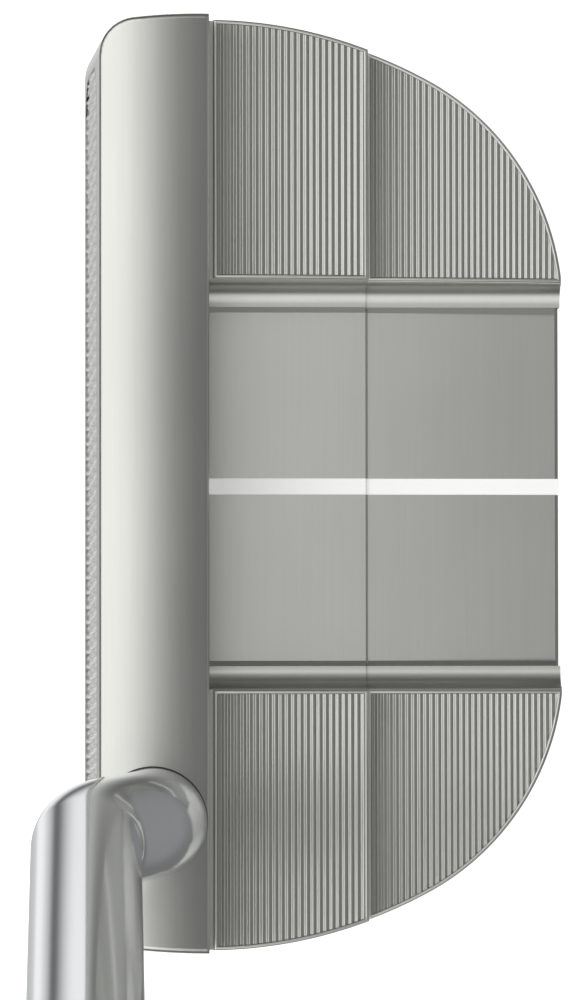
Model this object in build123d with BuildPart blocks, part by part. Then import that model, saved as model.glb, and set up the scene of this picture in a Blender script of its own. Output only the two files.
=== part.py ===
from build123d import *
from math import acos, cos, radians, sin, sqrt, tan
import os

# Mid-mallet putter, right-handed, complete with its double-bend shaft and grip.
# Millimetres. +Z is up, +X runs from the face to the rear of the head and +Y from heel to toe.
# The origin is on the ground, in the middle of the sole, under the alignment line.

# Head, overall
HEAD_DEPTH = 49.9            # leading edge to the rear edge of the sighting channel
HEAD_LENGTH = 96.6           # heel to toe, across the front bar
LOFT = 3.5                   # lean of the face from upright, degrees
SOLE_CORNER_RADIUS = 6.0     # heel and toe ends of the sole, seen from the front
SOLE_TAIL = 4.4              # the rear of the sole, which lifts off the ground
SOLE_RISE = 0.8              # how far the sole has lifted at the rear

# Front bar
BAR_DEPTH = 12.8             # leading edge to the bar's rear wall
BAR_HEIGHT = 25.4            # top of the crown roll
BAR_ROLL_RADIUS = 17.0       # crown roll, seen from the toe
BAR_CORNER_RADIUS = 3.9      # face corners of the bar, seen from above
BAR_END_FLARE = 0.9          # the ends are this much longer at the rear than at the face
BAR_EDGE_RADIUS = 0.5

# Wings, one each side of the channel, each in two levels
WING_SETBACK = 0.15          # the wings stop this far short of the bar's ends
WING_SIDE_RADIUS = 48.5
WING_SIDE_CENTRE = 37.0      # distance of the side arc's centre ahead of the rear edge
WING_CORNER_RADIUS = 27.0
WING_CORNER_REACH = 26.8     # distance of the corner arc's centre ahead of the rear edge
FRONT_LEVEL_HEIGHT = 19.5
REAR_LEVEL_HEIGHT = 15.4
LEVEL_STEP = 29.45           # leading edge to the step between the levels
WING_FALL = 1.99             # height the rear level loses from the step to the rear edge
RIM_WIDTH = 0.42             # plain rim round each ribbed panel
FRONT_GAP = 0.55             # trench between the bar's rear wall and the front rim
FRONT_GAP_DEPTH = 0.8
RIM_EDGE_RADIUS = 0.2

# Ribs on the wing panels, running heel to toe
FRONT_RIB_PITCH = 0.658
REAR_RIB_PITCH = 0.632
RIB_CREST_FLAT = 0.05        # left between the rounded shoulders of a rib
RIB_VALLEY_WIDTH = 0.12
RIB_SHOULDER_DEPTH = 0.11

# Sighting channel, one golf ball wide
CHANNEL_WIDTH = 42.64        # between the top edges of its walls
CHANNEL_WALL_DRAFT = 0.2     # each wall leans in by this much on its way down
CHANNEL_FRONT_FLOOR = 11.6
CHANNEL_REAR_FLOOR = 11.0
CHANNEL_COVE_RADIUS = 2.2
LEDGE_HEIGHT = 0.45          # ledge at the foot of each wall, above the floor
LEDGE_WIDTH = 0.1            # level top of the ledge, past the cove
LEDGE_SLOPE = 0.55           # width of the slope from the ledge down to the floor
FLOOR_ROLL_RADIUS = 430.0    # the floor falls away to the rear on this radius
FLOOR_ROLL_START = 26.0      # leading edge to the floor's highest line
STEP_GROOVE_WIDTH = 0.26     # relief at the foot of the step in the floor
STEP_GROOVE_DEPTH = 0.3
REAR_LIP_LENGTH = 0.45
REAR_LIP_DROP = 1.5

# Alignment line, paint in a milled groove
LINE_WIDTH = 1.68
LINE_DEPTH = 0.35
LINE_BELOW_FLOOR = 0.03

# Face insert on its damping pad
INSERT_END_MARGIN = 4.8      # plain face beyond each end of the insert
INSERT_TOP_MARGIN = 3.8      # plain face above it
INSERT_FOOT = 1.7            # up the face from the leading edge to the insert
INSERT_CORNER_RADIUS = 4.2
INSERT_THICKNESS = 1.0
INSERT_GAP = 0.05            # all round, between the insert and its pocket
PAD_THICKNESS = 0.4

# Underside: a light pocket, its cover plate and two weights
POCKET_INSET = 9.4           # wing outline to the pocket's wall
POCKET_FROM_FACE = 7.2
POCKET_ROOF = 8.8            # under the channel
FRONT_WING_ROOF = 15.6       # the pocket is taller under the wings
REAR_WING_ROOF = 11.0
WING_POCKET_GAP = 1.2        # outwards from the top of the channel wall
PLATE_CORNER_RADIUS = 1.5
PLATE_THICKNESS = 1.5
PLATE_LEDGE = 2.3            # pocket wall to the edge of the plate's recess
PLATE_GAP = 0.06
SCREW_HEAD_RADIUS = 2.1
SCREW_HEAD_HEIGHT = 1.1
SCREW_RADIUS = 1.25
SCREW_LENGTH = 5.5
SCREW_SOCKET_RADIUS = 0.85
SCREW_SOCKET_DEPTH = 0.7
SCREW_BOSS_RADIUS = 3.2
SCREW_SETBACK = 2.4          # pocket wall to the screw's axis
FRONT_SCREW_SPREAD = 18.0    # centre line to each front screw
REAR_SCREW_SPREAD = 9.0
WEIGHT_RADIUS = 5.5
WEIGHT_HEIGHT = 8.0
WEIGHT_RECESS = 0.3
WEIGHT_GAP = 0.04
WEIGHT_WALL = 2.4            # metal between the weight and the plate's recess
WEIGHT_FROM_END = 10.8       # end of the head to the weight's axis
WEIGHT_FROM_FACE = 18.5
WEIGHT_SOCKET_RADIUS = 2.3
WEIGHT_SOCKET_DEPTH = 3.0
WEIGHT_CHAMFER = 0.4

# Shaft: a stepped steel tube with two bends just above the crown
SHAFT_RADIUS = 5.5           # through the bends
SHAFT_WALL = 0.6
TIP_RADIUS = 3.95            # drawn-down tip inside the head
TIP_DEPTH = 15.0             # below the crown
BOND_THICKNESS = 0.15
SHAFT_FROM_FACE = 7.0        # leading edge to the axis, where it enters the crown
SHAFT_FROM_CENTRE = 34.75    # towards the heel
SHOULDER_DEPTH = 1.4         # below the crown, where the tube narrows to its tip
NECK_RISE = 1.8              # above the crown, where the bore has opened out to the tube's own
NECK_FLARE = 1.5             # height over which it opens out
FIRST_BEND_RISE = 8.2        # above the crown
BEND_SPACING = 6.0           # height between the two bends
SHAFT_OFFSET = 6.8           # forward jog between the bends
BEND_LEAN = 1.0              # heelward move between the bends
BEND_RADIUS = 8.2
LIE = 70.0                   # angle of the upper shaft above the ground, degrees
CLUB_LENGTH = 864.0          # along the upper shaft, from the ground to the butt
STEP_COUNT = 9
STEP_RISE = 0.23             # radius gained at each step
STEP_SPACING = 46.0
STEP_TAPER = 2.5
FIRST_STEP = 120.0           # beyond the second bend
PLUG_LENGTH = 6.0
PLUG_FROM_TIP = 5.0

# Grip: pistol form over a layer of tape, with a flat front
GRIP_LENGTH = 267.0
TAPE_THICKNESS = 0.3
GRIP_FRONT = 10.2            # shaft axis to the flat front
GRIP_CORNER_RADIUS = 4.5
MOUTH_WIDTH = 21.0
MOUTH_DEPTH = 20.2
WAIST_WIDTH = 22.6
WAIST_DEPTH = 21.2
WAIST_PLACE = 0.25           # share of the grip's length, from the mouth
SWELL_WIDTH = 24.6
SWELL_DEPTH = 24.2
SWELL_PLACE = 0.55
PALM_WIDTH = 26.0
PALM_DEPTH = 29.0
PALM_PLACE = 0.8
BUTT_WIDTH = 25.5
BUTT_DEPTH = 26.0
CAP_HEIGHT = 4.0
CAP_EDGE_RADIUS = 1.4
VENT_RADIUS = 1.5

# Places worked out from the sizes above
lead_x = -HEAD_DEPTH / 2
rear_x = HEAD_DEPTH / 2
bar_rear_x = lead_x + BAR_DEPTH
bar_middle_x = lead_x + BAR_DEPTH / 2
step_x = lead_x + LEVEL_STEP
roll_start = lead_x + FLOOR_ROLL_START
bar_half = HEAD_LENGTH / 2
wing_half = bar_half - WING_SETBACK
wing_roll_radius = ((rear_x - step_x) ** 2 + WING_FALL ** 2) / (2 * WING_FALL)
reach = HEAD_LENGTH                      # longer than any cut needs to be
channel_half = CHANNEL_WIDTH / 2
cove_y = channel_half - CHANNEL_WALL_DRAFT - CHANNEL_COVE_RADIUS
ledge_edge = cove_y - LEDGE_WIDTH
floor_half = ledge_edge - LEDGE_SLOPE
side_centre = Vector(rear_x - WING_SIDE_CENTRE, wing_half - WING_SIDE_RADIUS)
corner_x = rear_x - WING_CORNER_REACH
blend = acos((corner_x - side_centre.X) / (WING_SIDE_RADIUS - WING_CORNER_RADIUS))
corner_centre = Vector(corner_x, side_centre.Y + (WING_SIDE_RADIUS - WING_CORNER_RADIUS) * sin(blend))

face_up = Vector(sin(radians(LOFT)), 0, cos(radians(LOFT)))
face_out = Vector(-cos(radians(LOFT)), 0, sin(radians(LOFT)))
face_plane = Plane(origin=(lead_x, 0, 0), x_dir=(0, -1, 0), z_dir=face_out)
crown_front = lead_x + BAR_HEIGHT * tan(radians(LOFT))
roll_middle = (crown_front + bar_rear_x) / 2
roll_half = (bar_rear_x - crown_front) / 2
bar_edge = BAR_HEIGHT - BAR_ROLL_RADIUS + sqrt(BAR_ROLL_RADIUS ** 2 - roll_half ** 2)
face_top = (lead_x + bar_edge * tan(radians(LOFT)), bar_edge)
insert_length = HEAD_LENGTH - 2 * INSERT_END_MARGIN
insert_height = bar_edge / cos(radians(LOFT)) - INSERT_FOOT - INSERT_TOP_MARGIN
insert_middle = INSERT_FOOT + insert_height / 2

shaft_x = lead_x + SHAFT_FROM_FACE
shaft_axis = Vector(0, -cos(radians(LIE)), sin(radians(LIE)))
shoulder_z = BAR_HEIGHT - SHOULDER_DEPTH
neck_top = BAR_HEIGHT + NECK_RISE
first_bend = Vector(shaft_x, -SHAFT_FROM_CENTRE, BAR_HEIGHT + FIRST_BEND_RISE)
second_bend = first_bend + Vector(-SHAFT_OFFSET, -BEND_LEAN, BEND_SPACING)
straight_start = 2 * BEND_RADIUS         # beyond the second bend, where its arc has ended
upper_length = CLUB_LENGTH - second_bend.Z / sin(radians(LIE))
shaft_end = upper_length - CAP_HEIGHT
upper_plane = Plane(origin=second_bend, x_dir=(1, 0, 0), z_dir=shaft_axis)
butt_radius = SHAFT_RADIUS + STEP_COUNT * STEP_RISE
grip_start = shaft_end - GRIP_LENGTH
tape_radius = butt_radius + TAPE_THICKNESS
tip_end = BAR_HEIGHT - TIP_DEPTH

pocket_front = lead_x + POCKET_FROM_FACE
pocket_rear = rear_x - POCKET_INSET
weight_places = [(lead_x + WEIGHT_FROM_FACE, side * (bar_half - WEIGHT_FROM_END)) for side in (-1, 1)]
screw_places = [(x, side * spread) for side in (-1, 1)
                for x, spread in ((pocket_front + SCREW_SETBACK, FRONT_SCREW_SPREAD),
                                  (pocket_rear - SCREW_SETBACK, REAR_SCREW_SPREAD))]


def roll_drop(distance, radius):
    """Fall of a surface that rolls away on a radius, at a distance from its highest line."""
    return radius - sqrt(radius ** 2 - distance ** 2)


def wing_top(x):
    """Height of the wing's top surface at a place behind the bar."""
    if x < step_x:
        return FRONT_LEVEL_HEIGHT - roll_drop(x - bar_rear_x, wing_roll_radius)
    return REAR_LEVEL_HEIGHT - roll_drop(x - step_x, wing_roll_radius)


def wing_side(x, inset):
    """Half length of the wings at x on the side arc, less an inset."""
    return side_centre.Y + sqrt((WING_SIDE_RADIUS - inset) ** 2 - (x - side_centre.X) ** 2)


def arc_point(centre, radius, angle):
    return (centre.X + radius * cos(angle), centre.Y + radius * sin(angle))


def wing_outline(inset, front):
    """Plan of the wings and channel behind a front edge, mirrored about the alignment line."""
    side = WING_SIDE_RADIUS - inset
    corner = WING_CORNER_RADIUS - inset
    front_side = (front, wing_side(front, inset))
    side_middle = lead_x + (BAR_DEPTH + LEVEL_STEP) / 2
    end_x = rear_x - inset
    end_y = corner_centre.Y + sqrt(corner ** 2 - (end_x - corner_centre.X) ** 2)
    middle_angle = blend / 2
    with BuildSketch(Plane.XY, mode=Mode.PRIVATE) as outline:
        with BuildLine():
            Line((front, 0), front_side)
            ThreePointArc(front_side, (side_middle, wing_side(side_middle, inset)),
                          arc_point(side_centre, side, blend))
            ThreePointArc(arc_point(corner_centre, corner, blend),
                          arc_point(corner_centre, corner, middle_angle), (end_x, end_y))
            Line((end_x, end_y), (end_x, 0))
            mirror(about=Plane.XZ)
        make_face()
    return outline.sketch


def plate_outline(gap):
    """Plan of the cover plate, smaller than its recess by a gap all round."""
    with BuildSketch(Plane.XY, mode=Mode.PRIVATE) as outline:
        add(wing_outline(POCKET_INSET - PLATE_LEDGE + gap, pocket_front - PLATE_LEDGE + gap))
        with Locations(*weight_places):
            Circle(WEIGHT_RADIUS + WEIGHT_WALL + gap, mode=Mode.SUBTRACT)
        offset(amount=-PLATE_CORNER_RADIUS, mode=Mode.REPLACE)
        offset(amount=PLATE_CORNER_RADIUS, mode=Mode.REPLACE)
    return outline.sketch


def grip_section(width, depth):
    """Cross-section of the grip: round at the palm side, flat at the front."""
    back = GRIP_FRONT - depth
    shoulder = back + width / 2
    with BuildSketch(Plane.XY, mode=Mode.PRIVATE) as section:
        with BuildLine():
            ThreePointArc((-width / 2, shoulder), (0, back), (width / 2, shoulder))
            Polyline((width / 2, shoulder), (width / 2, GRIP_FRONT), (-width / 2, GRIP_FRONT),
                     (-width / 2, shoulder))
        make_face()
        fillet(section.vertices().group_by(Axis.Y)[-1], GRIP_CORNER_RADIUS)
    return section.sketch


def rib_groove(x, pitch):
    """Section of the groove between two ribs, with the rounded shoulders of both."""
    top = wing_top(x)
    mouth = (pitch - RIB_CREST_FLAT) / 2
    valley = RIB_VALLEY_WIDTH / 2
    floor = top - RIB_SHOULDER_DEPTH
    with BuildSketch(Plane.XY, mode=Mode.PRIVATE) as groove:
        with BuildLine():
            Polyline((x - mouth, top), (x - mouth, top + 1), (x + mouth, top + 1), (x + mouth, top))
            EllipticalCenterArc((x + mouth, floor), mouth - valley, RIB_SHOULDER_DEPTH,
                                start_angle=90, arc_size=90)
            ThreePointArc((x + valley, floor), (x, floor - valley), (x - valley, floor))
            EllipticalCenterArc((x - mouth, floor), mouth - valley, RIB_SHOULDER_DEPTH,
                                start_angle=0, arc_size=90)
        make_face()
    return groove.sketch


def floor_top(x, level):
    """Height of the channel's floor, which rolls away behind its highest line."""
    return level - roll_drop(max(0.0, x - roll_start), FLOOR_ROLL_RADIUS)


def above_floor(depth, top):
    """Side view of the space from a depth under the channel's floor up to a height."""
    step_up = floor_top(step_x, CHANNEL_FRONT_FLOOR) - depth
    step_down = floor_top(step_x, CHANNEL_REAR_FLOOR) - depth
    rear = floor_top(rear_x, CHANNEL_REAR_FLOOR) - depth
    front_middle = (roll_start + step_x) / 2
    rear_middle = (step_x + rear_x) / 2
    with BuildSketch(Plane.XY, mode=Mode.PRIVATE) as space:
        with BuildLine():
            Polyline((rear_x, rear), (rear_x, top), (bar_rear_x, top),
                     (bar_rear_x, CHANNEL_FRONT_FLOOR - depth), (roll_start, CHANNEL_FRONT_FLOOR - depth))
            ThreePointArc((roll_start, CHANNEL_FRONT_FLOOR - depth),
                          (front_middle, floor_top(front_middle, CHANNEL_FRONT_FLOOR) - depth),
                          (step_x, step_up))
            Line((step_x, step_up), (step_x, step_down))
            ThreePointArc((step_x, step_down),
                          (rear_middle, floor_top(rear_middle, CHANNEL_REAR_FLOOR) - depth),
                          (rear_x, rear))
        make_face()
    return space.sketch


def span(x_from, x_to, y_from, y_to, mode=Mode.ADD):
    """Rectangle between two corners, as part of the sketch being drawn."""
    with Locations(((x_from + x_to) / 2, (y_from + y_to) / 2)):
        Rectangle(x_to - x_from, y_to - y_from, mode=mode)


floors = ((CHANNEL_FRONT_FLOOR, bar_rear_x, step_x), (CHANNEL_REAR_FLOOR, step_x, rear_x + 1))

# ---- Head body -------------------------------------------------------------------------

end_at_face = bar_half - BAR_END_FLARE
end_at_middle = bar_half - BAR_END_FLARE / 4
sole_end_x = rear_x - SOLE_TAIL

with BuildPart() as bar:
    with BuildSketch(Plane.XZ):
        with BuildLine():
            Polyline((bar_rear_x, bar_edge), (bar_rear_x, 0), (lead_x, 0), face_top)
            ThreePointArc(face_top, (roll_middle, BAR_HEIGHT), (bar_rear_x, bar_edge))
        make_face()
    extrude(amount=reach, both=True)
    with BuildSketch(Plane.XY):
        with BuildLine():
            ThreePointArc((lead_x, end_at_face), (bar_middle_x, end_at_middle), (bar_rear_x, bar_half))
            Polyline((bar_rear_x, bar_half), (bar_rear_x, -bar_half))
            ThreePointArc((bar_rear_x, -bar_half), (bar_middle_x, -end_at_middle), (lead_x, -end_at_face))
            Line((lead_x, -end_at_face), (lead_x, end_at_face))
        make_face()
        fillet(vertices().group_by(Axis.X)[0], BAR_CORNER_RADIUS)
        span(bar_rear_x, rear_x, -bar_half, bar_half)
    extrude(amount=reach, dir=face_up, mode=Mode.INTERSECT)
    fillet(edges().filter_by_position(Axis.Z, bar_edge - 1.0, BAR_HEIGHT), BAR_EDGE_RADIUS)

with BuildPart() as channel:
    for floor, x_from, x_to in floors:
        ledge = floor + LEDGE_HEIGHT
        foot_y = channel_half - CHANNEL_WALL_DRAFT
        with BuildSketch(Plane.YZ.offset(x_from)):
            with BuildLine():
                Polyline((0, BAR_HEIGHT), (channel_half, BAR_HEIGHT), (channel_half, FRONT_LEVEL_HEIGHT),
                         (foot_y, ledge + CHANNEL_COVE_RADIUS))
                RadiusArc((foot_y, ledge + CHANNEL_COVE_RADIUS), (cove_y, ledge), CHANNEL_COVE_RADIUS)
                Polyline((cove_y, ledge), (ledge_edge, ledge), (floor_half, floor), (0, floor))
                mirror(about=Plane.YZ)
            make_face()
        extrude(amount=x_to - x_from)

with BuildPart() as rib_grooves:
    with BuildSketch(Plane.XZ):
        rib_rows = ((bar_rear_x + FRONT_GAP + RIM_WIDTH, step_x - RIM_WIDTH, FRONT_RIB_PITCH),
                    (step_x + RIM_WIDTH, rear_x, REAR_RIB_PITCH))
        for start, end, pitch in rib_rows:
            for index in range(int((end - start) / pitch)):
                add(rib_groove(start + (index + 0.5) * pitch, pitch))
    extrude(amount=reach, both=True)
    with BuildSketch(Plane.XY):
        add(wing_outline(RIM_WIDTH, bar_rear_x))
        span(bar_rear_x, rear_x, -channel_half - RIM_WIDTH, channel_half + RIM_WIDTH,
             mode=Mode.SUBTRACT)
    extrude(amount=reach, mode=Mode.INTERSECT)

with BuildPart() as head_body:
    with BuildSketch(Plane.XZ):
        front_end = wing_top(step_x - 0.001)
        rear_end = wing_top(rear_x)
        with BuildLine():
            Polyline((bar_middle_x, FRONT_LEVEL_HEIGHT), (bar_rear_x, FRONT_LEVEL_HEIGHT))
            middle = (bar_rear_x + step_x) / 2
            ThreePointArc((bar_rear_x, FRONT_LEVEL_HEIGHT), (middle, wing_top(middle)),
                          (step_x, front_end))
            Line((step_x, front_end), (step_x, REAR_LEVEL_HEIGHT))
            middle = (step_x + rear_x) / 2
            ThreePointArc((step_x, REAR_LEVEL_HEIGHT), (middle, wing_top(middle)), (rear_x, rear_end))
            Polyline((rear_x, rear_end), (rear_x, SOLE_RISE), (sole_end_x, 0),
                     (bar_middle_x, 0), (bar_middle_x, FRONT_LEVEL_HEIGHT))
        make_face()
    extrude(amount=reach, both=True)
    with BuildSketch(Plane.XY):
        add(wing_outline(0, bar_middle_x))
    extrude(amount=reach, mode=Mode.INTERSECT)
    with BuildSketch(Plane.XY.offset(FRONT_LEVEL_HEIGHT - FRONT_GAP_DEPTH)):
        span(bar_rear_x - 1, bar_rear_x + FRONT_GAP, -reach, reach)
    extrude(amount=BAR_HEIGHT, mode=Mode.SUBTRACT)
    add(channel, mode=Mode.SUBTRACT)
    wing_tops = head_body.faces().filter_by(lambda face: face.normal_at().Z > 0.9
                                            and face.center().X > bar_rear_x
                                            and abs(face.center().Y) > channel_half
                                            and face.center().Z > CHANNEL_FRONT_FLOOR + 1)
    rim_edges = [edge for face in wing_tops for edge in face.edges()
                 if edge.center().Z > wing_top(edge.center().X) - 0.05
                 and not (abs(edge.center().X - step_x) < 0.01
                          and edge.center().Z < REAR_LEVEL_HEIGHT + 0.01)]
    fillet(rim_edges, RIM_EDGE_RADIUS)
    add(rib_grooves, mode=Mode.SUBTRACT)
    with BuildSketch(Plane.XZ):
        add(above_floor(0, BAR_HEIGHT))
    extrude(amount=floor_half, both=True, mode=Mode.SUBTRACT)
    with BuildSketch(Plane.XY.offset(floor_top(step_x, CHANNEL_REAR_FLOOR) - STEP_GROOVE_DEPTH)):
        span(step_x, step_x + STEP_GROOVE_WIDTH, -ledge_edge, ledge_edge)
        span(step_x, step_x + STEP_GROOVE_WIDTH, -LINE_WIDTH / 2, LINE_WIDTH / 2, mode=Mode.SUBTRACT)
    extrude(amount=2 * STEP_GROOVE_DEPTH, mode=Mode.SUBTRACT)
    with BuildSketch(Plane.XZ):
        lip_x = rear_x - REAR_LIP_LENGTH
        lip_z = floor_top(lip_x, CHANNEL_REAR_FLOOR)
        with BuildLine():
            Polyline((lip_x, BAR_HEIGHT), (rear_x + 1, BAR_HEIGHT), (rear_x + 1, lip_z - REAR_LIP_DROP),
                     (rear_x, lip_z - REAR_LIP_DROP), (lip_x, lip_z), close=True)
        make_face()
    extrude(amount=ledge_edge, both=True, mode=Mode.SUBTRACT)
    add(bar)
    with BuildSketch(Plane.YZ.offset(lead_x - 1)):
        with Locations((0, BAR_HEIGHT)):
            RectangleRounded(HEAD_LENGTH + 0.001, 2 * BAR_HEIGHT, SOLE_CORNER_RADIUS)
    extrude(amount=HEAD_DEPTH + 2, mode=Mode.INTERSECT)

    # Face pocket
    with BuildSketch(face_plane):
        with Locations((0, insert_middle)):
            RectangleRounded(insert_length, insert_height, INSERT_CORNER_RADIUS)
    extrude(amount=-(INSERT_THICKNESS + PAD_THICKNESS), mode=Mode.SUBTRACT)

    # Alignment groove, on both levels of the floor
    with BuildSketch(Plane.XZ):
        add(above_floor(LINE_DEPTH, BAR_HEIGHT))
    extrude(amount=LINE_WIDTH / 2, both=True, mode=Mode.SUBTRACT)

    # Shaft bore
    with BuildSketch(Plane.XY.offset(tip_end - BOND_THICKNESS)):
        with Locations((shaft_x, -SHAFT_FROM_CENTRE)):
            Circle(TIP_RADIUS + BOND_THICKNESS)
    extrude(amount=BAR_HEIGHT, mode=Mode.SUBTRACT)

    # Underside pocket, its bosses and the plate's recess
    with BuildSketch(Plane.XY):
        add(plate_outline(PLATE_LEDGE))
        with Locations(*screw_places):
            Circle(SCREW_BOSS_RADIUS, mode=Mode.SUBTRACT)
    extrude(amount=POCKET_ROOF, mode=Mode.SUBTRACT)
    wing_inner = channel_half + WING_POCKET_GAP
    for roof, x_from, x_to in ((FRONT_WING_ROOF, bar_rear_x + WING_POCKET_GAP, step_x - WING_POCKET_GAP),
                               (REAR_WING_ROOF, step_x - WING_POCKET_GAP, rear_x)):
        with BuildSketch(Plane.XY):
            add(plate_outline(PLATE_LEDGE))
            span(-reach, x_from, -reach, reach, mode=Mode.SUBTRACT)
            span(x_to, reach, -reach, reach, mode=Mode.SUBTRACT)
            span(-reach, reach, -wing_inner, wing_inner, mode=Mode.SUBTRACT)
        extrude(amount=roof, mode=Mode.SUBTRACT)
    with BuildSketch(Plane.XY):
        add(plate_outline(0))
    extrude(amount=PLATE_THICKNESS, mode=Mode.SUBTRACT)
    with BuildSketch(Plane.XY):
        with Locations(*screw_places):
            Circle(SCREW_RADIUS)
    extrude(amount=SCREW_LENGTH, mode=Mode.SUBTRACT)
    with BuildSketch(Plane.XY):
        with Locations(*weight_places):
            Circle(WEIGHT_RADIUS + WEIGHT_GAP)
    extrude(amount=WEIGHT_RECESS + WEIGHT_HEIGHT, mode=Mode.SUBTRACT)

# ---- Pieces fitted to the head ---------------------------------------------------------

with BuildPart() as face_insert:
    with BuildSketch(face_plane):
        with Locations((0, insert_middle)):
            RectangleRounded(insert_length - 2 * INSERT_GAP, insert_height - 2 * INSERT_GAP,
                             INSERT_CORNER_RADIUS - INSERT_GAP)
    extrude(amount=-INSERT_THICKNESS)

with BuildPart() as face_pad:
    with BuildSketch(face_plane.offset(-INSERT_THICKNESS)):
        with Locations((0, insert_middle)):
            RectangleRounded(insert_length - 2 * INSERT_GAP, insert_height - 2 * INSERT_GAP,
                             INSERT_CORNER_RADIUS - INSERT_GAP)
    extrude(amount=-PAD_THICKNESS)

with BuildPart() as alignment_line:
    with BuildSketch(Plane.XZ):
        add(above_floor(LINE_DEPTH, CHANNEL_FRONT_FLOOR))
        add(above_floor(LINE_BELOW_FLOOR, CHANNEL_FRONT_FLOOR + 1), mode=Mode.SUBTRACT)
    extrude(amount=LINE_WIDTH / 2, both=True)

with BuildPart() as sole_plate:
    with BuildSketch(Plane.XY):
        add(plate_outline(PLATE_GAP))
    extrude(amount=PLATE_THICKNESS)
    with Locations(*[Location((x, y, 0), (180, 0, 0)) for x, y in screw_places]):
        CounterBoreHole(SCREW_RADIUS + PLATE_GAP, SCREW_HEAD_RADIUS + PLATE_GAP, SCREW_HEAD_HEIGHT)

with BuildPart() as sole_screws:
    with BuildSketch(Plane.XY):
        with Locations(*screw_places):
            Circle(SCREW_HEAD_RADIUS)
    extrude(amount=SCREW_HEAD_HEIGHT)
    with BuildSketch(Plane.XY):
        with Locations(*screw_places):
            Circle(SCREW_RADIUS)
    extrude(amount=SCREW_LENGTH)
    with BuildSketch(Plane.XY):
        with Locations(*screw_places):
            RegularPolygon(SCREW_SOCKET_RADIUS, 6)
    extrude(amount=SCREW_SOCKET_DEPTH, mode=Mode.SUBTRACT)


def make_weight(place):
    """Screw-in weight, its socket facing the ground."""
    with BuildPart() as weight:
        with BuildSketch(Plane.XY.offset(WEIGHT_RECESS)):
            with Locations(place):
                Circle(WEIGHT_RADIUS)
        extrude(amount=WEIGHT_HEIGHT)
        chamfer(weight.edges().filter_by(GeomType.CIRCLE), WEIGHT_CHAMFER)
        with BuildSketch(Plane.XY.offset(WEIGHT_RECESS)):
            with Locations(place):
                RegularPolygon(WEIGHT_SOCKET_RADIUS, 6)
        extrude(amount=WEIGHT_SOCKET_DEPTH, mode=Mode.SUBTRACT)
    return weight


heel_weight, toe_weight = (make_weight(place) for place in weight_places)

# ---- Shaft ------------------------------------------------------------------------------

bore_radius = SHAFT_RADIUS - SHAFT_WALL
neck = Vector(shaft_x, -SHAFT_FROM_CENTRE, neck_top)
straight = second_bend + shaft_axis * straight_start

with BuildPart() as shaft:
    # Tip and neck, on the upright axis of the head's bore
    with BuildSketch(Plane(origin=(shaft_x, -SHAFT_FROM_CENTRE, 0), x_dir=(1, 0, 0), z_dir=(0, -1, 0))):
        with BuildLine():
            Polyline((TIP_RADIUS - SHAFT_WALL, tip_end), (TIP_RADIUS, tip_end),
                     (TIP_RADIUS, shoulder_z), (SHAFT_RADIUS, shoulder_z),
                     (SHAFT_RADIUS, neck_top), (bore_radius, neck_top),
                     (TIP_RADIUS - SHAFT_WALL, neck_top - NECK_FLARE), close=True)
        make_face()
    revolve(axis=Axis((shaft_x, -SHAFT_FROM_CENTRE, 0), (0, 0, 1)))
    add(head_body, mode=Mode.SUBTRACT)
    with BuildLine():
        FilletPolyline(neck, first_bend, second_bend, straight, radius=BEND_RADIUS)
    with BuildSketch(Plane.XY.offset(neck_top)):
        with Locations((shaft_x, -SHAFT_FROM_CENTRE)):
            Circle(SHAFT_RADIUS)
            Circle(bore_radius, mode=Mode.SUBTRACT)
    sweep()
    # Upper shaft, stepped up to the butt
    outline = [(SHAFT_RADIUS, straight_start)]
    for step in range(STEP_COUNT):
        place = FIRST_STEP + step * STEP_SPACING
        outline.append((SHAFT_RADIUS + step * STEP_RISE, place))
        outline.append((SHAFT_RADIUS + (step + 1) * STEP_RISE, place + STEP_TAPER))
    outline.append((butt_radius, shaft_end))
    inner = [(radius - SHAFT_WALL, place) for radius, place in reversed(outline)]
    with BuildSketch(Plane(origin=second_bend, x_dir=(1, 0, 0), z_dir=Vector(1, 0, 0).cross(shaft_axis))):
        with BuildLine():
            Polyline(*outline, *inner, close=True)
        make_face()
    revolve(axis=Axis(second_bend, shaft_axis))

with BuildPart() as shaft_bond:
    with BuildSketch(Plane.XY.offset(tip_end)):
        with Locations((shaft_x, -SHAFT_FROM_CENTRE)):
            Circle(TIP_RADIUS + BOND_THICKNESS)
            Circle(TIP_RADIUS, mode=Mode.SUBTRACT)
    extrude(amount=shoulder_z - tip_end)

with BuildPart() as tip_plug:
    with BuildSketch(Plane.XY.offset(tip_end + PLUG_FROM_TIP)):
        with Locations((shaft_x, -SHAFT_FROM_CENTRE)):
            Circle(TIP_RADIUS - SHAFT_WALL)
    extrude(amount=PLUG_LENGTH)

# ---- Grip -------------------------------------------------------------------------------

with BuildPart() as grip_tape:
    with BuildSketch(upper_plane.offset(grip_start)):
        Circle(tape_radius)
        Circle(butt_radius, mode=Mode.SUBTRACT)
    extrude(amount=GRIP_LENGTH)

with BuildPart() as grip:
    for place, width, depth in ((0, MOUTH_WIDTH, MOUTH_DEPTH), (WAIST_PLACE, WAIST_WIDTH, WAIST_DEPTH),
                                (SWELL_PLACE, SWELL_WIDTH, SWELL_DEPTH),
                                (PALM_PLACE, PALM_WIDTH, PALM_DEPTH), (1, BUTT_WIDTH, BUTT_DEPTH)):
        with BuildSketch(upper_plane.offset(grip_start + place * GRIP_LENGTH)):
            add(grip_section(width, depth))
    loft()
    with BuildSketch(upper_plane.offset(grip_start)):
        Circle(tape_radius)
    extrude(amount=GRIP_LENGTH, mode=Mode.SUBTRACT)

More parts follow.
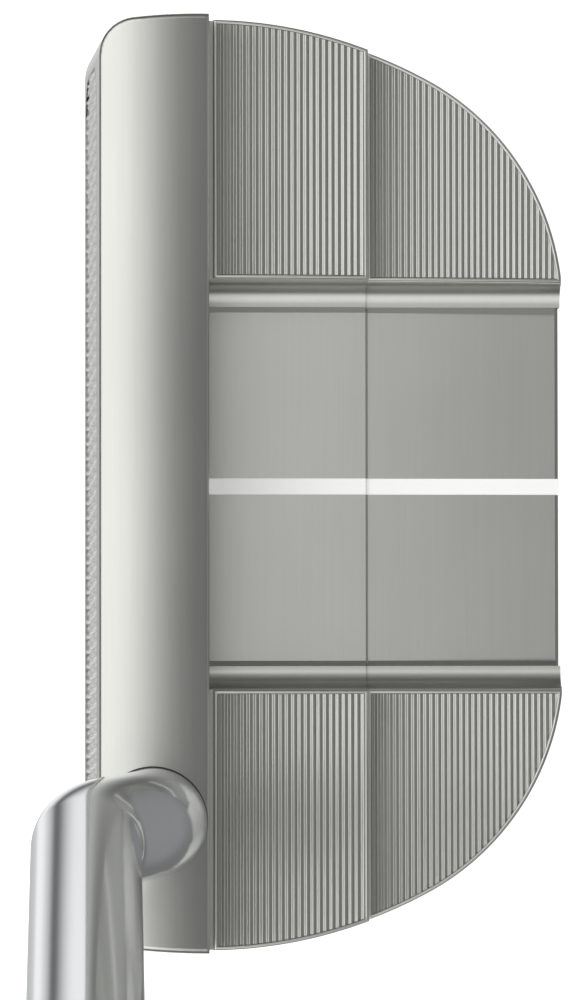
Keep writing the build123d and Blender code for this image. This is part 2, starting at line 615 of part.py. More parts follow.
with BuildPart() as grip_cap:
    with BuildSketch(upper_plane.offset(shaft_end)):
        add(grip_section(BUTT_WIDTH, BUTT_DEPTH))
    extrude(amount=CAP_HEIGHT)
    fillet(grip_cap.faces().sort_by(Axis((0, 0, 0), shaft_axis))[-1].edges(), CAP_EDGE_RADIUS)
    with BuildSketch(upper_plane.offset(shaft_end)):
        Circle(VENT_RADIUS)
    extrude(amount=CAP_HEIGHT, mode=Mode.SUBTRACT)

pieces = {
    "head_body": head_body, "face_insert": face_insert, "face_pad": face_pad,
    "alignment_line": alignment_line, "sole_plate": sole_plate, "sole_screws": sole_screws,
    "heel_weight": heel_weight, "toe_weight": toe_weight, "shaft": shaft,
    "shaft_bond": shaft_bond, "tip_plug": tip_plug, "grip_tape": grip_tape, "grip": grip,
    "grip_cap": grip_cap,
}
os.makedirs("parts", exist_ok=True)
for name, piece in pieces.items():
    piece.part.label = name
    export_step(piece.part, f"parts/{name}.step")
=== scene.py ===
import bpy
import bmesh
from math import acos, atan2, cos, pi, radians, sin, sqrt, tan
from mathutils import Matrix, Vector


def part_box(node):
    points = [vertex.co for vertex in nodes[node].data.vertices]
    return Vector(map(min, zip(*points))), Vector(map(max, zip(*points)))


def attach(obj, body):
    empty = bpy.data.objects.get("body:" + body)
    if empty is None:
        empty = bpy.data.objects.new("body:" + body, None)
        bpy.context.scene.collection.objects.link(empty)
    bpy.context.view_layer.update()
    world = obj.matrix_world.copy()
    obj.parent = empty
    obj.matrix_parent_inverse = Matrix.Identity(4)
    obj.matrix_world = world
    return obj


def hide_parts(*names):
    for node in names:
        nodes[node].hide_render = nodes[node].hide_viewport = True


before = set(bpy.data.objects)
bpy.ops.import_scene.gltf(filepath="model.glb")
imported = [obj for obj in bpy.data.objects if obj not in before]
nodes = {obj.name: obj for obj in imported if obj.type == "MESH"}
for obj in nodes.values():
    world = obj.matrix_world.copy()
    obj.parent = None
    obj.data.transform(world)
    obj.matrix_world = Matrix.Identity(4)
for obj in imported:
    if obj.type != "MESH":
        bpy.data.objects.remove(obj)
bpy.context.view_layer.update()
MM = 0.001


# ---- Places read from the frame -----------------------------------------------------------

head_low, head_high = (Vector(corner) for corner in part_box("head_body"))
insert_low, insert_high = (Vector(corner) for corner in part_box("face_insert"))
shaft_high = Vector(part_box("shaft")[1])
bond_low, bond_high = (Vector(corner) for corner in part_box("shaft_bond"))

LOFT = radians(3.5)
LIE = radians(70)
SHAFT_RADIUS = 5.5 * MM
BUTT_RADIUS = 7.57 * MM
FIRST_BEND_RISE = 8.2 * MM        # above the crown
BEND_JOG = Vector((-6.8, -1.0, 6.0)) * MM
shaft_axis = Vector((0, -cos(LIE), sin(LIE)))
neck = Vector(((bond_low.x + bond_high.x) / 2, (bond_low.y + bond_high.y) / 2, head_high.z))
first_bend = neck + Vector((0, 0, FIRST_BEND_RISE))
second_bend = first_bend + BEND_JOG
shaft_end = (shaft_high.z - second_bend.z - BUTT_RADIUS * cos(LIE)) / sin(LIE)
upper_shaft = Matrix.Translation(second_bend) @ Matrix.Rotation(pi / 2 - LIE, 4, "X")


# ---- Camera, floor and light --------------------------------------------------------------

EYE_HEIGHT = 609 * MM             # golfer's eye, straight above the heel side of the face
EYE_BEHIND_FACE = 1.09 * MM
EYE_TOWARDS_HEEL = 20.27 * MM
LENS = 205.3
SENSOR = 36.0
AIM = Vector((0.03437, 0.03156, -1.0))
FLOOR_HALF = 3.0
FLOOR_TONE = (0.93, 0.93, 0.93)
FLOOR_ROUGHNESS = 0.9
FLOOR_GLOW = 0.75                 # keeps the floor near white; it is hidden from reflections

# Light levels fitted to the tones wanted on the metal, as (place, level) pairs. Across runs
# from face to rear, and along runs from the middle to heel and toe. The glow and the rear level
# below stand for the ground.
SKY_ACROSS = ((-1.0, 1.42), (-0.52, 1.42), (-0.35, 1.32), (-0.17, 1.01), (-0.03, 0.68), (0.1, 0.43),
              (0.25, 0.24), (0.42, 0.14), (0.6, 0.1), (1.0, 0.1))
SKY_ALONG = ((0.0, 0.0), (0.18, 0.03), (0.35, 0.43), (0.6, 0.64), (1.0, 0.43))
GROUND_GLOW = ((0.0, 0.55), (0.1, 0.7), (0.2, 1.05), (0.3, 0.85), (0.4, 0.48), (0.47, 0.13),
               (0.52, 0.3), (0.6, 0.78), (0.68, 1.05), (1.0, 0.9))
HORIZON_ACROSS = ((-1.0, 0.07), (0.0, 0.06), (0.3, 0.14), (0.65, 0.28), (1.0, 0.3))
TOE_SHADE = (0.47, 0.66)          # the overhead light falls off between these, towards the toe
TOE_SHADE_LEVEL = 0.25
DOME_START = 0.25
DOME_FULL = 0.6
GROUND_START = -0.25
GROUND_FULL = -0.65
REAR_GROUND_LEVEL = 0.2           # reflected ground is darker behind the head
GROUND_EDGE = (-0.04, 0.2)


def make_camera():
    data = bpy.data.cameras.new("camera")
    data.lens = LENS
    data.sensor_width = SENSOR
    camera = bpy.data.objects.new("camera", data)
    camera.location = (head_low.x + EYE_BEHIND_FACE, -EYE_TOWARDS_HEEL, EYE_HEIGHT)
    back = -AIM.normalized()
    right = Vector((1, 0, 0)) - back * back.x
    right.normalize()
    camera.rotation_euler = Matrix((right, back.cross(right), back)).transposed().to_euler()
    bpy.context.scene.collection.objects.link(camera)
    bpy.context.scene.camera = camera


def math_node(tree, operation, *values):
    """A Math node fed by numbers or sockets."""
    node = tree.nodes.new("ShaderNodeMath")
    node.operation = operation
    for socket, value in zip(node.inputs, values):
        if isinstance(value, (int, float)):
            socket.default_value = value
        else:
            tree.links.new(value, socket)
    return node.outputs[0]


def remap(tree, value, low, high, to_low, to_high, smooth=False):
    """Stretch of a value from one range to another, clamped at its ends."""
    node = tree.nodes.new("ShaderNodeMapRange")
    node.interpolation_type = "SMOOTHSTEP" if smooth else "LINEAR"
    for socket, number in zip(list(node.inputs)[1:5], (low, high, to_low, to_high)):
        socket.default_value = number
    tree.links.new(value, node.inputs[0])
    return node.outputs[0]


def level_ramp(tree, value, stops):
    """Light level along a value from 0 to 1."""
    curve = tree.nodes.new("ShaderNodeFloatCurve")
    points = curve.mapping.curves[0].points
    top = max(level for place, level in stops)
    for index, (place, level) in enumerate(stops):
        point = points[index] if index < 2 else points.new(place, level / top)
        point.location = (place, level / top)
        point.handle_type = "AUTO_CLAMPED"
    curve.mapping.update()
    tree.links.new(value, curve.inputs["Value"])
    return math_node(tree, "MULTIPLY", curve.outputs[0], top)


def blend_levels(tree, factor, first, second):
    node = tree.nodes.new("ShaderNodeMix")
    tree.links.new(factor, node.inputs["Factor"])
    for socket, value in ((node.inputs["A"], first), (node.inputs["B"], second)):
        if isinstance(value, (int, float)):
            socket.default_value = value
        else:
            tree.links.new(value, socket)
    return node.outputs[0]


def make_world():
    """Soft light overhead, brighter in front of the face, dim walls, and a graded ground."""
    world = bpy.data.worlds.new("studio")
    bpy.context.scene.world = world
    world.use_nodes = True
    tree = world.node_tree
    tree.nodes.clear()
    coords = tree.nodes.new("ShaderNodeTexCoord")
    split = tree.nodes.new("ShaderNodeSeparateXYZ")
    tree.links.new(coords.outputs["Generated"], split.inputs[0])
    x, y, z = split.outputs
    off_centre = math_node(tree, "ABSOLUTE", y)
    front_to_rear = math_node(tree, "MULTIPLY_ADD", x, 0.5, 0.5)
    across, horizon = (
        level_ramp(tree, front_to_rear, [((place + 1) / 2, level) for place, level in stops])
        for stops in (SKY_ACROSS, HORIZON_ACROSS))
    overhead = math_node(tree, "ADD", across, level_ramp(tree, off_centre, SKY_ALONG))
    sky = math_node(tree, "MULTIPLY", overhead, remap(tree, y, *TOE_SHADE, 1, TOE_SHADE_LEVEL, True))
    front_ground = level_ramp(tree, off_centre, GROUND_GLOW)
    ground = blend_levels(tree, remap(tree, x, *GROUND_EDGE, 0, 1, True), front_ground, REAR_GROUND_LEVEL)
    upper = blend_levels(tree, remap(tree, z, DOME_START, DOME_FULL, 0, 1, True), horizon, sky)
    light = blend_levels(tree, remap(tree, z, GROUND_FULL, GROUND_START, 0, 1, True), ground, upper)
    back = tree.nodes.new("ShaderNodeBackground")
    tree.links.new(light, back.inputs["Color"])
    out = tree.nodes.new("ShaderNodeOutputWorld")
    tree.links.new(back.outputs[0], out.inputs[0])


def make_floor():
    shape = bmesh.new()
    bmesh.ops.create_grid(shape, x_segments=1, y_segments=1, size=FLOOR_HALF)
    floor = make_object(shape, "floor")
    material, surface, _ = new_material("floor paper", FLOOR_TONE, FLOOR_ROUGHNESS)
    surface.inputs["Specular IOR Level"].default_value = 0.0
    surface.inputs["Emission Color"].default_value = (1, 1, 1, 1)
    surface.inputs["Emission Strength"].default_value = FLOOR_GLOW
    floor.data.materials.append(material)
    floor.visible_glossy = False


def make_object(shape, name):
    """Turn a finished bmesh into a smooth-shaded object of the same name."""
    mesh = bpy.data.meshes.new(name)
    shape.to_mesh(mesh)
    shape.free()
    mesh.shade_smooth()
    piece = bpy.data.objects.new(name, mesh)
    bpy.context.scene.collection.objects.link(piece)
    return piece


# ---- Node groups shared by the finishes ---------------------------------------------------

def new_group(name, inputs, outputs):
    """Node group with named number inputs and outputs, and its inner input and output nodes."""
    group = bpy.data.node_groups.new(name, "ShaderNodeTree")
    for label, value in inputs:
        socket = group.interface.new_socket(label, in_out="INPUT", socket_type="NodeSocketFloat")
        socket.default_value = value
    for label in outputs:
        group.interface.new_socket(label, in_out="OUTPUT", socket_type="NodeSocketFloat")
    return group, group.nodes.new("NodeGroupInput"), group.nodes.new("NodeGroupOutput")


def noise(tree, vector, scale, detail=2.0):
    node = tree.nodes.new("ShaderNodeTexNoise")
    node.inputs["Detail"].default_value = detail
    for socket, value in ((node.inputs["Vector"], vector), (node.inputs["Scale"], scale)):
        if isinstance(value, (int, float)):
            socket.default_value = value
        else:
            tree.links.new(value, socket)
    return node.outputs["Fac"]


def object_coordinates(tree):
    return tree.nodes.new("ShaderNodeTexCoord").outputs["Object"]


def make_grain_group():
    """Fine even grain, as blasting or moulding leaves, and slow patches under it."""
    group, given, result = new_group("fine grain", (("Grains per metre", 4000), ("Patches per metre", 60)),
                                     ("Grain", "Patches"))
    place = object_coordinates(group)
    group.links.new(noise(group, place, given.outputs[0], 3.0), result.inputs[0])
    patches = noise(group, place, given.outputs[1], 4.0)
    group.links.new(remap(group, patches, 0.3, 0.7, 0, 1, True), result.inputs[1])
    return group


def make_brushed_group():
    """Fine straight lines, drawn out along X, Y or Z by a small share of the scale on that axis."""
    group, given, result = new_group("brushed lines", (("Lines per metre", 3000), ("Along X", 1),
                                                       ("Along Y", 0.02), ("Along Z", 1)), ("Lines",))
    split = group.nodes.new("ShaderNodeSeparateXYZ")
    group.links.new(object_coordinates(group), split.inputs[0])
    join = group.nodes.new("ShaderNodeCombineXYZ")
    for axis in range(3):
        drawn = math_node(group, "MULTIPLY", split.outputs[axis], given.outputs[axis + 1])
        group.links.new(drawn, join.inputs[axis])
    group.links.new(noise(group, join.outputs[0], given.outputs[0], 4.0), result.inputs[0])
    return group


def make_scuff_group():
    """Sparse short scratches within a height of the ground, as a sole picks up on grass and mats."""
    group, given, result = new_group("ground scuffs", (("Height", 1.2 * MM), ("Amount", 0.5)), ("Scuffs",))
    place = object_coordinates(group)
    height = group.nodes.new("ShaderNodeSeparateXYZ")
    group.links.new(place, height.inputs[0])
    low = math_node(group, "LESS_THAN", height.outputs[2], given.outputs[0])
    lines = group.nodes.new("ShaderNodeTexWave")
    lines.inputs["Scale"].default_value = 160
    lines.inputs["Distortion"].default_value = 9
    lines.inputs["Detail"].default_value = 4
    group.links.new(place, lines.inputs["Vector"])
    thin = remap(group, lines.outputs["Fac"], 0.93, 1.0, 0, 1)
    sparse = remap(group, noise(group, place, 210), 0.5, 0.68, 0, 1, True)
    scuffs = math_node(group, "MULTIPLY", math_node(group, "MULTIPLY", thin, sparse), low)
    group.links.new(math_node(group, "MULTIPLY", scuffs, given.outputs[1]), result.inputs[0])
    return group


def place_group(tree, group, **values):
    """Put a shared group in a material, its inputs set by name with _ for a space."""
    node = tree.nodes.new("ShaderNodeGroup")
    node.node_tree = group
    for label, value in values.items():
        node.inputs[label.replace("_", " ")].default_value = value
    return node


grain_group = make_grain_group()
brushed_group = make_brushed_group()
scuff_group = make_scuff_group()


# ---- Finishes -----------------------------------------------------------------------------

STEEL = (0.62, 0.625, 0.59)
TURNED_STEEL = (0.6, 0.59, 0.57)
CHROME = (0.78, 0.79, 0.8)
CHROME_SHADE = (0.76, 0.77, 0.785)
CHROME_ROUGHNESS = 0.135
CHROME_HAZE = (0.125, 0.145)      # roughness between the clear and the handled patches
# Painted shade laid into grooves and inner corners: its colour, and how far it looks for walls
RECESS_SHADE_TONE = (0.06, 0.06, 0.055)
RECESS_SHADE_REACH = 0.45 * MM
SHEEN_CHANGE = 0.008              # satin steel's roughness, either side of its own
SIGHT_LINE_GLOW = 0.2


def new_material(name, colour, roughness, metallic=0.0):
    material = bpy.data.materials.new(name)
    material.use_nodes = True
    tree = material.node_tree
    surface = tree.nodes["Principled BSDF"]
    surface.inputs["Base Color"].default_value = (*colour, 1)
    surface.inputs["Roughness"].default_value = roughness
    surface.inputs["Metallic"].default_value = metallic
    return material, surface, tree


def mix_colours(tree, factor, first, second):
    node = tree.nodes.new("ShaderNodeMix")
    node.data_type = "RGBA"
    tree.links.new(factor, node.inputs["Factor"])
    for socket, colour in zip((node.inputs[6], node.inputs[7]), (first, second)):
        if isinstance(colour, tuple):
            socket.default_value = (*colour, 1)
        else:
            tree.links.new(colour, socket)
    return node.outputs[2]


def add_bump(tree, surface, height, distance, strength=1.0):
    node = tree.nodes.new("ShaderNodeBump")
    node.inputs["Strength"].default_value = strength
    node.inputs["Distance"].default_value = distance
    tree.links.new(height, node.inputs["Height"])
    tree.links.new(node.outputs[0], surface.inputs["Normal"])


def paint_recess_shade(tree, tone, amount):
    """Painted shade: the metal's colour darkened by ambient occlusion in grooves, valleys and inner
    corners.
    """
    node = tree.nodes.new("ShaderNodeAmbientOcclusion")
    node.samples = 6
    node.only_local = True
    node.inputs["Distance"].default_value = RECESS_SHADE_REACH
    shaded = remap(tree, node.outputs["AO"], 0.3, 0.9, amount, 0, True)
    return mix_colours(tree, shaded, tone, RECESS_SHADE_TONE)


def grained_metal(name, colour, roughness, lines_along, scuffed=False, recess_shade=0.55):
    """Satin metal: fine grain, faint lines along one axis, slow changes in its sheen, and painted shade in
    its recesses.
    """
    material, surface, tree = new_material(name, colour, roughness, 1.0)
    grain = place_group(tree, grain_group, Grains_per_metre=5200, Patches_per_metre=45)
    along = {f"Along_{axis}": 0.015 if axis == lines_along else 1.0 for axis in "XYZ"}
    lines = place_group(tree, brushed_group, Lines_per_metre=3600, **along)
    sheen = math_node(tree, "MULTIPLY_ADD", grain.outputs[1], 0.3,
                      math_node(tree, "MULTIPLY", lines.outputs[0], 0.7))
    darker, lighter = (tuple(part * share for part in colour) for share in (0.97, 1.02))
    tone = mix_colours(tree, remap(tree, sheen, 0.25, 0.75, 0, 1), darker, lighter)
    # painted shade in grooves, rib valleys and inner corners
    tone = paint_recess_shade(tree, tone, recess_shade)
    rough = remap(tree, sheen, 0.2, 0.8, roughness - SHEEN_CHANGE, roughness + SHEEN_CHANGE)
    if scuffed:
        scuffs = place_group(tree, scuff_group, Amount=0.8).outputs[0]
        tone = mix_colours(tree, scuffs, tone, tuple(min(1.0, part * 1.25) for part in colour))
        rough = math_node(tree, "MULTIPLY_ADD", scuffs, 0.15, rough)
    tree.links.new(tone, surface.inputs["Base Color"])
    tree.links.new(rough, surface.inputs["Roughness"])
    relief = math_node(tree, "MULTIPLY_ADD", lines.outputs[0], 0.6, grain.outputs[0])
    add_bump(tree, surface, relief, 0.0018 * MM, 0.5)
    return material


def turned_metal(name, colour, roughness, centre):
    """Bright metal faced on a lathe, with fine rings round its own axis."""
    material, surface, tree = new_material(name, colour, roughness, 1.0)
    mapping = tree.nodes.new("ShaderNodeMapping")
    mapping.vector_type = "POINT"
    mapping.inputs["Location"].default_value = (-centre.x, -centre.y, 0)
    tree.links.new(object_coordinates(tree), mapping.inputs["Vector"])
    rings = tree.nodes.new("ShaderNodeTexWave")
    rings.wave_type = "RINGS"
    rings.rings_direction = "Z"
    rings.inputs["Scale"].default_value = 1100
    rings.inputs["Distortion"].default_value = 0.4
    tree.links.new(mapping.outputs[0], rings.inputs["Vector"])
    patches = place_group(tree, grain_group, Patches_per_metre=260).outputs[1]
    tree.links.new(remap(tree, patches, 0, 1, roughness - 0.05, roughness + 0.06),
                   surface.inputs["Roughness"])
    tone = mix_colours(tree, rings.outputs["Fac"], tuple(part * 0.9 for part in colour), colour)
    tree.links.new(tone, surface.inputs["Base Color"])
    add_bump(tree, surface, rings.outputs["Fac"], 0.01 * MM, 0.4)
    return material


def plated_chrome():
    """Chromium plate: near mirror, with faint polishing lines and light handling haze."""
    material, surface, tree = new_material("chrome plate", CHROME, CHROME_ROUGHNESS, 1.0)
    haze = place_group(tree, grain_group, Grains_per_metre=1500, Patches_per_metre=38)
    lines = place_group(tree, brushed_group, Lines_per_metre=900, Along_X=1, Along_Y=0.05, Along_Z=0.02)
    tree.links.new(remap(tree, haze.outputs[1], 0, 1, *CHROME_HAZE), surface.inputs["Roughness"])
    tone = mix_colours(tree, remap(tree, lines.outputs[0], 0.3, 0.7, 0, 1), CHROME_SHADE, CHROME)
    tree.links.new(tone, surface.inputs["Base Color"])
    add_bump(tree, surface, haze.outputs[0], 0.001 * MM, 0.3)
    return material


def moulded(name, colour, shade, roughness, grains, depth):
    """Rubber, plastic, paint or resin: a fine moulded grain over slow changes of tone."""
    material, surface, tree = new_material(name, colour, roughness)
    grain = place_group(tree, grain_group, Grains_per_metre=grains, Patches_per_metre=70)
    tree.links.new(mix_colours(tree, grain.outputs[1], colour, shade), surface.inputs["Base Color"])
    tree.links.new(remap(tree, grain.outputs[1], 0, 1, roughness - 0.04, roughness + 0.06),
                   surface.inputs["Roughness"])
    add_bump(tree, surface, grain.outputs[0], depth, 0.6)
    return material


def sight_line_enamel():
    """White enamel; a little emission of its own holds it at full white under this light."""
    material = moulded("white enamel", (0.99, 0.99, 0.985), (0.97, 0.97, 0.96), 0.35, 900, 0.004 * MM)
    surface = material.node_tree.nodes["Principled BSDF"]
    surface.inputs["Emission Color"].default_value = (1, 1, 1, 1)
    surface.inputs["Emission Strength"].default_value = SIGHT_LINE_GLOW
    return material


def woven_tape():
    """Cream paper tape with the fine crepe ridges that run round it."""
    material, surface, tree = new_material("crepe tape", (0.72, 0.64, 0.45), 0.75)
    brushed = place_group(tree, brushed_group, Lines_per_metre=1400, Along_X=0.1, Along_Y=1, Along_Z=1)
    lines = brushed.outputs[0]
    tree.links.new(mix_colours(tree, lines, (0.6, 0.52, 0.35), (0.8, 0.72, 0.53)),
                   surface.inputs["Base Color"])
    tree.links.new(remap(tree, lines, 0.3, 0.7, 0.65, 0.85), surface.inputs["Roughness"])
    add_bump(tree, surface, lines, 0.05 * MM, 0.8)
    return material


def middle(name):
    low, high = (Vector(corner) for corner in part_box(name))
    return (low + high) / 2


def dress_nodes():
    """Give every piece of the frame its finish."""
    satin = grained_metal("satin steel", STEEL, 0.33, "Y", scuffed=True)
    finishes = {
        "head_body": satin,
        # the milled face gets deep painted shade in its flutes
        "face_insert": grained_metal("milled steel", STEEL, 0.24, "Y", recess_shade=0.95),
        "face_pad": moulded("damping pad", (0.03, 0.03, 0.032), (0.05, 0.05, 0.05), 0.6, 2500, 0.02 * MM),
        "alignment_line": sight_line_enamel(),
        "sole_plate": grained_metal("anodised plate", (0.33, 0.33, 0.34), 0.38, "X", scuffed=True),
        "sole_screws": grained_metal("black screw steel", (0.12, 0.12, 0.125), 0.35, "Z"),
        "heel_weight": turned_metal("turned heel weight", TURNED_STEEL, 0.22, middle("heel_weight")),
        "toe_weight": turned_metal("turned toe weight", TURNED_STEEL, 0.22, middle("toe_weight")),
        "shaft": plated_chrome(),
        "shaft_bond": moulded("dark epoxy", (0.05, 0.05, 0.047), (0.03, 0.03, 0.03), 0.3, 800, 0.01 * MM),
        "tip_plug": moulded("plug plastic", (0.75, 0.74, 0.7), (0.66, 0.65, 0.6), 0.45, 1200, 0.01 * MM),
        "grip_tape": woven_tape(),
        "grip": moulded("grip rubber", (0.022, 0.022, 0.023), (0.032, 0.031, 0.03), 0.62, 3800, 0.03 * MM),
        "grip_cap": moulded("cap rubber", (0.02, 0.02, 0.021), (0.03, 0.03, 0.03), 0.5, 3800, 0.02 * MM),
    }
    for name, finish in finishes.items():
        nodes[name].data.materials.clear()
        nodes[name].data.materials.append(finish)
    return finishes


def finish_piece(piece, material, slot, *replaced):
    """Dress a new piece, ride it on the frame and hide the nodes it stands for."""
    piece.data.materials.append(material)
    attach(piece, "root")
    if replaced:
        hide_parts(*replaced)


# ---- Milled face --------------------------------------------------------------------------

INSERT_THICKNESS = 1.0 * MM
INSERT_CORNER_RADIUS = 4.15 * MM
FLUTE_PITCH = 0.79 * MM           # every second flute is cut deeper
FLUTE_DEPTH = 0.3 * MM
SHALLOW_FLUTE = 0.6               # share of the depth in between
FLUTE_LEAN = radians(4.5)         # towards the toe on the way up
CROSS_PITCH = 6.2 * MM            # the cutter's slower passes, across the flutes
CROSS_DEPTH = 0.16 * MM
COLUMNS_PER_FLUTE = 8
ROWS_PER_CROSS = 14
WELD = 0.01 * MM


def mill_depth(along, up):
    """How far the cutter has gone in at a place on the face."""
    turn = (along - up * tan(FLUTE_LEAN)) / FLUTE_PITCH
    deep = 1.0 if int(turn // 1) % 2 == 0 else SHALLOW_FLUTE
    flute = FLUTE_DEPTH * deep * sin(pi * (turn % 1)) ** 2
    cross = CROSS_DEPTH * sin(pi * (up / CROSS_PITCH + turn / 2)) ** 2
    return flute + cross


def make_milled_face(material):
    height = (insert_high.z - insert_low.z - INSERT_THICKNESS * sin(LOFT)) / cos(LOFT)
    length = insert_high.y - insert_low.y
    middle_up = (insert_high.z / cos(LOFT)) - height / 2
    face_plane = Matrix(((0, sin(LOFT), -cos(LOFT), head_low.x), (-1, 0, 0, 0),
                         (0, cos(LOFT), sin(LOFT), 0), (0, 0, 0, 1)))
    shape = bmesh.new()
    bmesh.ops.create_grid(shape, x_segments=round(length / FLUTE_PITCH * COLUMNS_PER_FLUTE),
                          y_segments=round(height / CROSS_PITCH * ROWS_PER_CROSS), size=0.5,
                          matrix=Matrix.Diagonal((length, height, 1, 1)))
    for vert in shape.verts:
        over = max(0.0, abs(vert.co.y) - (height / 2 - INSERT_CORNER_RADIUS))
        corner = max(0.0, INSERT_CORNER_RADIUS ** 2 - over ** 2)
        half = length / 2 - INSERT_CORNER_RADIUS + sqrt(corner)
        vert.co.x = max(-half, min(half, vert.co.x))
    bmesh.ops.remove_doubles(shape, verts=shape.verts, dist=WELD)
    rim = [edge for edge in shape.edges if edge.is_boundary]
    rim_verts = {vert for edge in rim for vert in edge.verts}
    for vert in shape.verts:
        if vert not in rim_verts:
            vert.co.z = -mill_depth(-vert.co.x, vert.co.y)
    wall = bmesh.ops.extrude_edge_only(shape, edges=rim)["geom"]
    foot = [item for item in wall if isinstance(item, bmesh.types.BMVert)]
    bmesh.ops.translate(shape, verts=foot, vec=(0, 0, -INSERT_THICKNESS))
    bmesh.ops.edgeloop_fill(shape, edges=[item for item in wall if isinstance(item, bmesh.types.BMEdge)
                                          and item.is_boundary])
    bmesh.ops.translate(shape, verts=shape.verts, vec=(0, middle_up, 0))
    bmesh.ops.transform(shape, matrix=face_plane, verts=shape.verts)
    bmesh.ops.recalc_face_normals(shape, faces=shape.faces)
    finish_piece(make_object(shape, "milled_face"), material, "insert_metal", "face_insert")


# ---- Wing panels: rounded ribs inside a raised rim ----------------------------------------

# These repeat the CAD head's own sizes, except for the crests, depths and rounds of the ribs
# and rims, which stand a little above it so that its plainer ones don't show through.
BAR_DEPTH = 12.8 * MM
FRONT_GAP = 0.55 * MM
LEVEL_STEP = 29.45 * MM
CHANNEL_HALF = 21.32 * MM
LEVEL_HEIGHTS = (19.5 * MM, 15.4 * MM)
WING_ROLL_RADIUS = 106.07 * MM
WING_SETBACK = 0.15 * MM
SIDE_RADIUS = 48.5 * MM
SIDE_CENTRE = 37.0 * MM           # ahead of the rear edge, as the corner's reach is
CORNER_RADIUS = 27.0 * MM
CORNER_REACH = 26.8 * MM
RIM_WIDTH = 0.42 * MM
RIB_PITCHES = (0.658 * MM, 0.632 * MM)
RIB_CREST = 0.1 * MM              # above the milled surface below
RIB_DEPTH = 0.19 * MM
ROWS_PER_RIB = 16
RIM_CREST = 0.15 * MM
RIM_FOOT = 0.3 * MM
RIM_ROUND = 0.235 * MM
RIM_TUCK = 0.03 * MM              # keeps the foot of a rim inside the wall below it
RIM_LOOPS = 9
RIM_POINTS = 120
RIM_WELD = 0.0005 * MM
CORNER_ANGLE = radians(40)

bar_rear_x = head_low.x + BAR_DEPTH
step_x = head_low.x + LEVEL_STEP
side_centre = Vector((head_high.x - SIDE_CENTRE, head_high.y - WING_SETBACK - SIDE_RADIUS))
corner_x = head_high.x - CORNER_REACH
side_blend = acos((corner_x - side_centre.x) / (SIDE_RADIUS - CORNER_RADIUS))
to_corner = Vector((cos(side_blend), sin(side_blend)))
corner_centre = side_centre + to_corner * (SIDE_RADIUS - CORNER_RADIUS)


def wing_edge(x, inset):
    """Half length of the wings at x, less an inset: the side arc, then the corner arc."""
    if x < side_centre.x + (SIDE_RADIUS - inset) * cos(side_blend):
        return side_centre.y + sqrt((SIDE_RADIUS - inset) ** 2 - (x - side_centre.x) ** 2)
    return corner_centre.y + sqrt(max(0.0, (CORNER_RADIUS - inset) ** 2 - (x - corner_centre.x) ** 2))


def wing_top(x, level):
    start = (bar_rear_x, step_x)[level]
    fall = WING_ROLL_RADIUS - sqrt(WING_ROLL_RADIUS ** 2 - (x - start) ** 2)
    return LEVEL_HEIGHTS[level] - fall


def panel_ends(level):
    return ((bar_rear_x + FRONT_GAP, step_x), (step_x, head_high.x))[level]


def sharpen_corners(shape):
    """Shade across the rounded tops only, not round the square ends."""
    for edge in shape.edges:
        edge.smooth = edge.calc_face_angle(pi) < CORNER_ANGLE


def make_ribs(material):
    """A corrugated sheet over each wing panel, its crests running heel to toe."""
    shape = bmesh.new()
    for level in (0, 1):
        low, high = panel_ends(level)
        pitch = RIB_PITCHES[level]
        start = low + RIM_WIDTH
        count = int((high - (RIM_WIDTH if level == 0 else 0) - start) / pitch)
        for side in (-1, 1):
            grid = bmesh.ops.create_grid(shape, x_segments=count * ROWS_PER_RIB, y_segments=1, size=0.5)
            for vert in grid["verts"]:
                along = (vert.co.x + 0.5) * count
                x = start + along * pitch
                inner = CHANNEL_HALF + RIM_WIDTH
                outer = max(inner, wing_edge(x, RIM_WIDTH))
                y = inner + (vert.co.y + 0.5) * (outer - inner)
                z = wing_top(x, level) + RIB_CREST - RIB_DEPTH * sin(pi * along) ** 2
                vert.co = (x, side * y, z)
            sheet = list({face for vert in grid["verts"] for face in vert.link_faces})
            under = bmesh.ops.extrude_face_region(shape, geom=sheet, use_keep_orig=True)["geom"]
            low_verts = [item for item in under if isinstance(item, bmesh.types.BMVert)]
            bmesh.ops.translate(shape, verts=low_verts, vec=(0, 0, -RIM_FOOT))
    bmesh.ops.recalc_face_normals(shape, faces=shape.faces)
    sharpen_corners(shape)
    finish_piece(make_object(shape, "wing_ribs"), material, "head_steel")


def rim_path(level, inset):
    """Points round a wing panel on the toe side, at an inset from its edge."""
    low, high = panel_ends(level)
    inner = CHANNEL_HALF + inset
    reach = sqrt((CORNER_RADIUS - inset) ** 2 - (inner - corner_centre.y) ** 2)
    start, end = low + inset, min(high - inset, corner_centre.x + reach)
    path = []
    for index in range(RIM_POINTS):
        x = start + (end - start) * index / (RIM_POINTS - 1)
        path.append((x, inner))
    for index in range(RIM_POINTS):
        x = start + (end - start) * sin(pi / 2 * (1 - index / (RIM_POINTS - 1)))
        path.append((x, max(inner, wing_edge(x, inset))))
    return path


